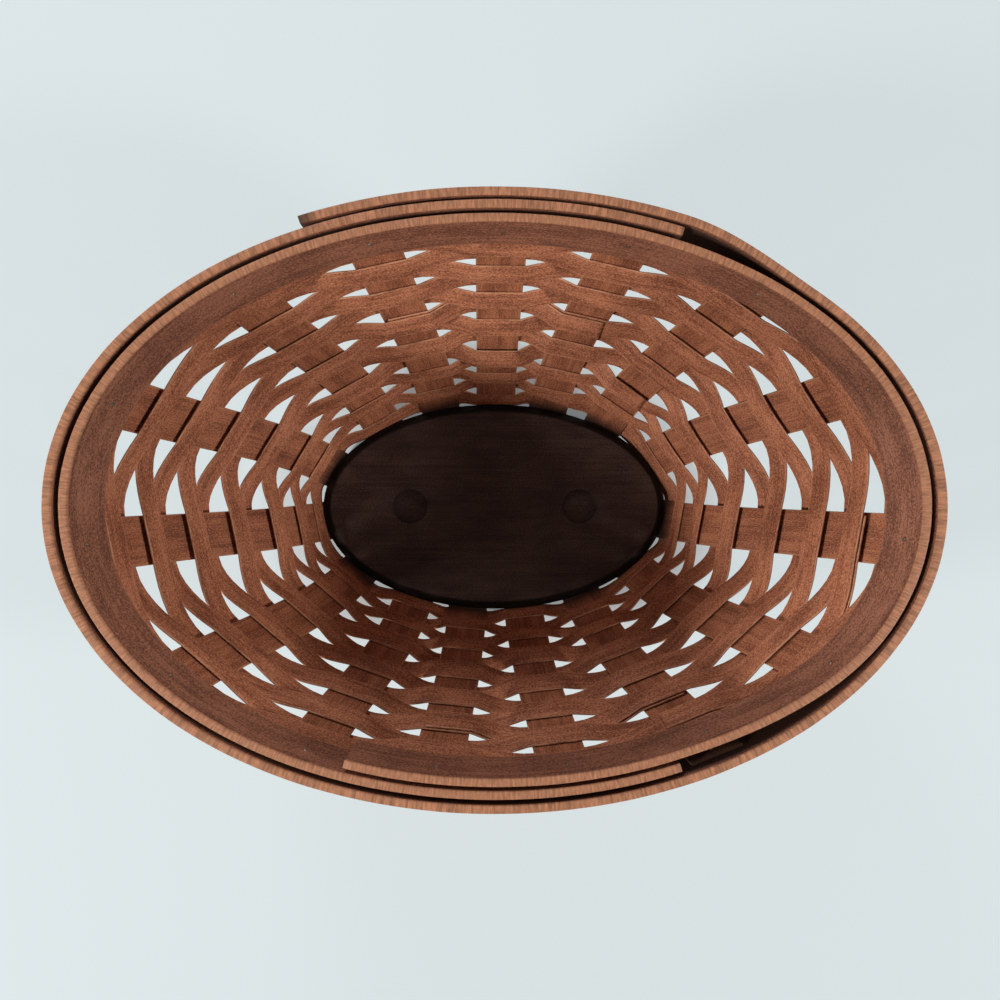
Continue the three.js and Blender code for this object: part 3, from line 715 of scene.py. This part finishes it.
def wood(name, tones, edge, gloss, sawn=None):
    """Stained wood. Tones are dark, middle and light, edge is its worn long edges, and sawn its top edge.
    The first trim is the place across the width, and the second is painted shade in gaps and hollows."""
    dark, middle, light = tones
    material, tree, shader = new_material(name)
    vector = add(tree, "ShaderNodeAttribute", attribute_name="grain").outputs["Vector"]
    trim = add(tree, "ShaderNodeAttribute", attribute_name="trim").outputs["Vector"]
    trims = add(tree, "ShaderNodeSeparateXYZ", {0: trim}).outputs
    streak = stretched_noise(tree, vector, STREAK, 3, 0.6, 0.3)
    speckle = stretched_noise(tree, vector, SPECKLE, 2, 0.65)
    blotch = stretched_noise(tree, vector, BLOTCH, 3, 0.6)
    tone = weighted(tree, (streak, 0.21), (speckle, 0.53), (blotch, 0.26))
    color = ramp(tree, tone, [(0.42, dark), (0.50, middle), (0.58, light)])
    pore = level(tree, stretched_noise(tree, vector, PORE, 2, 0.5), 0.60, 0.72, 0.0, 0.5)
    color = mix(tree, pore, color, (*shade(dark, PORE_SHADE), 1))
    side = math_node(tree, "ABSOLUTE", trims[0])
    frayed = level(tree, stretched_noise(tree, vector, FRAY, 3, 0.6), 0.36, 0.60, 0.15, 0.95)
    worn = math_node(tree, "MULTIPLY", level(tree, side, EDGE_START, EDGE_FULL), frayed)
    color = mix(tree, worn, color, (*edge, 1))
    height = math_node(tree, "SUBTRACT", speckle, pore)
    if sawn:
        bars = stretched_noise(tree, vector, SAW, 3, 0.65)
        cut, ridge = shade(sawn, SAW_DEEP_SHADE), shade(sawn, SAW_WORN_SHADE)
        top = ramp(tree, bars, [(0.34, cut), (0.52, sawn), (0.68, ridge)])
        on_top = level(tree, trims[0], EDGE_START, TOP_FULL)
        color = mix(tree, on_top, color, top)
        height = math_node(tree, "ADD", height, math_node(tree, "MULTIPLY", bars, on_top))
    # Painted shade in gaps between parts and in hollows
    painted_shade = math_node(tree, "MULTIPLY", trims[1], PAINTED_SHADE_SHARE)
    color = mix(tree, painted_shade, color, (*shade(dark, PAINTED_SHADE_TONE), 1))
    relief = {"Strength": BUMP_STRENGTH, "Distance": BUMP_HEIGHT, "Height": height}
    bump = add(tree, "ShaderNodeBump", relief)
    tree.links.new(color, shader.inputs["Base Color"])
    tree.links.new(level(tree, tone, 0.3, 0.7, 0.72, 0.5), shader.inputs["Roughness"])
    tree.links.new(bump.outputs[0], shader.inputs["Normal"])
    shader.inputs["Specular IOR Level"].default_value = gloss
    return material


def metal(name):
    """Small nails, dark with rust in spots."""
    material, tree, shader = new_material(name)
    vector = add(tree, "ShaderNodeAttribute", attribute_name="grain").outputs["Vector"]
    spots = stretched_noise(tree, vector, RUST, 3, 0.6)
    color = ramp(tree, spots, [(0.35, (0.05, 0.035, 0.028)), (0.6, (0.20, 0.16, 0.13))])
    tree.links.new(color, shader.inputs["Base Color"])
    tree.links.new(level(tree, spots, 0.3, 0.7, 0.65, 0.45), shader.inputs["Roughness"])
    shader.inputs["Metallic"].default_value = 1.0
    return material


STRIP_TONES = (0.18, 0.060, 0.030), (0.38, 0.135, 0.068), (0.58, 0.24, 0.128)
STAKE_TONES = (0.16, 0.053, 0.027), (0.32, 0.110, 0.055), (0.50, 0.20, 0.100)
HOOP_TONES = (0.12, 0.045, 0.027), (0.24, 0.092, 0.052), (0.38, 0.16, 0.095)
BOARD_TONES = (0.030, 0.016, 0.012), (0.052, 0.028, 0.021), (0.082, 0.047, 0.034)

strip_wood = wood("strip_wood", STRIP_TONES, (0.62, 0.31, 0.18), 0.25)
stake_wood = wood("stake_wood", STAKE_TONES, (0.45, 0.20, 0.10), 0.25)
hoop_wood = wood("hoop_wood", HOOP_TONES, (0.42, 0.19, 0.10), 0.3, sawn=(0.46, 0.20, 0.105))
board_wood = wood("board_wood", BOARD_TONES, (0.055, 0.032, 0.023), 0.12)
brad_metal = metal("brad_metal")

# Pieces


def dress(piece, material, slot, *nodes):
    piece.data.materials.append(material)
    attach(piece, "root")
    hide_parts(*nodes)


dress(board(), board_wood, "board_wood", "base_board")
for i, stake in enumerate(stakes):
    number = f"{i + 1:02d}"
    stations = stake_stations(stake, i)
    piece = ribbon(f"stake_wood_{number}", stations, STAKE_ROUND, i + 1, stake_painted_shade, wide_steps=6)
    dress(piece, stake_wood, "stake_wood", f"stake_{number}")
for i, (name, strip) in enumerate(weave_strips()):
    piece = ribbon(f"{name}_wood", strip_stations(strip, i), STRIP_ROUND, i + STRIP_SEED)
    dress(piece, strip_wood, "strip_wood", name)
for i, (name, (middle, start, end, painted_shade)) in enumerate(HOOPS.items()):
    stations = hoop_stations(middle, start, end, i)
    piece = ribbon(f"{name}_wood", stations, HOOP_ROUND, i + HOOP_SEED, painted_shade, **HOOP_FINENESS)
    dress(piece, hoop_wood, "hoop_wood", name)
dress(brads(), brad_metal, "brad_metal", *[f"hoop_brad_{i + 1:02d}" for i in range(STAKE_COUNT)])

# Floor, light and camera, in metres

FLOOR_SIZE, FLOOR_DROP = 6, 0.0002
FLOOR_COLOR = 0.70, 0.775, 0.79, 1
GLOW_COLOR = 0.735, 0.81, 0.825, 1
SKY_COLOR = 0.86, 0.91, 0.93, 1
GLOW_SHARE, SHADOW_REACH, SHADOW_POWER = 0.72, 0.03, 4.0
SKY_LIGHT, SKY_SEEN = 0.04, 0.8
WARM, COOL = (1.0, 0.98, 0.96), (0.97, 0.98, 1.0)
LAMP_AIM = 0, 0, 0.08
LAMPS = {
    "left": ((-0.88, -0.42, 0.66), 0.2, 9.5, WARM),
    "right": ((0.95, -0.30, 0.66), 0.2, 8.0, WARM),
    "back": ((-0.40, 0.90, 0.50), 0.3, 4.5, COOL),
}
SENSOR_WIDTH, LENS, CLIP_START = 36, 27.04, 0.01
EYE, EYE_PITCH, EYE_ROLL = (-0.0064, -0.0016, 0.3788), 0.733, -1.37


def background_seen(tree):
    """1 where the eye, a reflection or clear glass looks at the background, and 0 where it only lights."""
    rays = add(tree, "ShaderNodeLightPath").outputs
    shown = math_node(tree, "MAXIMUM", rays["Is Camera Ray"], rays["Is Glossy Ray"])
    return math_node(tree, "MAXIMUM", shown, rays["Is Transmission Ray"])


def pale_floor():
    """A matt floor that also glows to the eye, less where the object stands close over it."""
    bpy.ops.mesh.primitive_plane_add(size=FLOOR_SIZE, location=(0, 0, -FLOOR_DROP))
    floor = bpy.context.object
    floor.name = "floor"
    material, tree, shader = new_material("pale_floor")
    shader.inputs["Base Color"].default_value = FLOOR_COLOR
    shader.inputs["Roughness"].default_value = 0.9
    shader.inputs["Specular IOR Level"].default_value = 0.1
    glow = add(tree, "ShaderNodeEmission", {"Color": GLOW_COLOR, "Strength": 1.0})
    open_sky = add(tree, "ShaderNodeAmbientOcclusion", {"Distance": SHADOW_REACH}, samples=8).outputs["AO"]
    open_sky = math_node(tree, "POWER", open_sky, SHADOW_POWER)
    bright = math_node(tree, "MULTIPLY", open_sky, GLOW_SHARE)
    seen = math_node(tree, "MULTIPLY", background_seen(tree), bright)
    blend = add(tree, "ShaderNodeMixShader", {0: seen, 1: shader.outputs[0], 2: glow.outputs[0]})
    tree.links.new(blend.outputs[0], tree.nodes["Material Output"].inputs["Surface"])
    floor.data.materials.append(material)


def area_light(name, place, size, power, color):
    data = bpy.data.lights.new(name, "AREA")
    data.shape = "DISK"
    data.size = size
    data.energy = power
    data.color = color
    lamp = bpy.data.objects.new(name, data)
    lamp.location = place
    lamp.rotation_euler = (Vector(LAMP_AIM) - Vector(place)).to_track_quat("-Z", "Y").to_euler()
    bpy.context.scene.collection.objects.link(lamp)


def sky():
    world = bpy.data.worlds.new("sky")
    world.use_nodes = True
    tree = world.node_tree
    background = tree.nodes["Background"]
    background.inputs["Color"].default_value = SKY_COLOR
    strength = level(tree, background_seen(tree), 0, 1, SKY_LIGHT, SKY_SEEN)
    tree.links.new(strength, background.inputs["Strength"])
    bpy.context.scene.world = world


def camera():
    data = bpy.data.cameras.new("camera")
    data.sensor_width = SENSOR_WIDTH
    data.lens = LENS
    data.clip_start = CLIP_START
    eye = bpy.data.objects.new("camera", data)
    eye.location = EYE
    eye.rotation_euler = (math.radians(EYE_PITCH), math.radians(EYE_ROLL), 0)
    bpy.context.scene.collection.objects.link(eye)
    bpy.context.scene.camera = eye


pale_floor()
for name, (place, size, power, color) in LAMPS.items():
    area_light(name, place, size, power, color)
sky()
camera()
bpy.context.scene.view_settings.view_transform = "Standard"
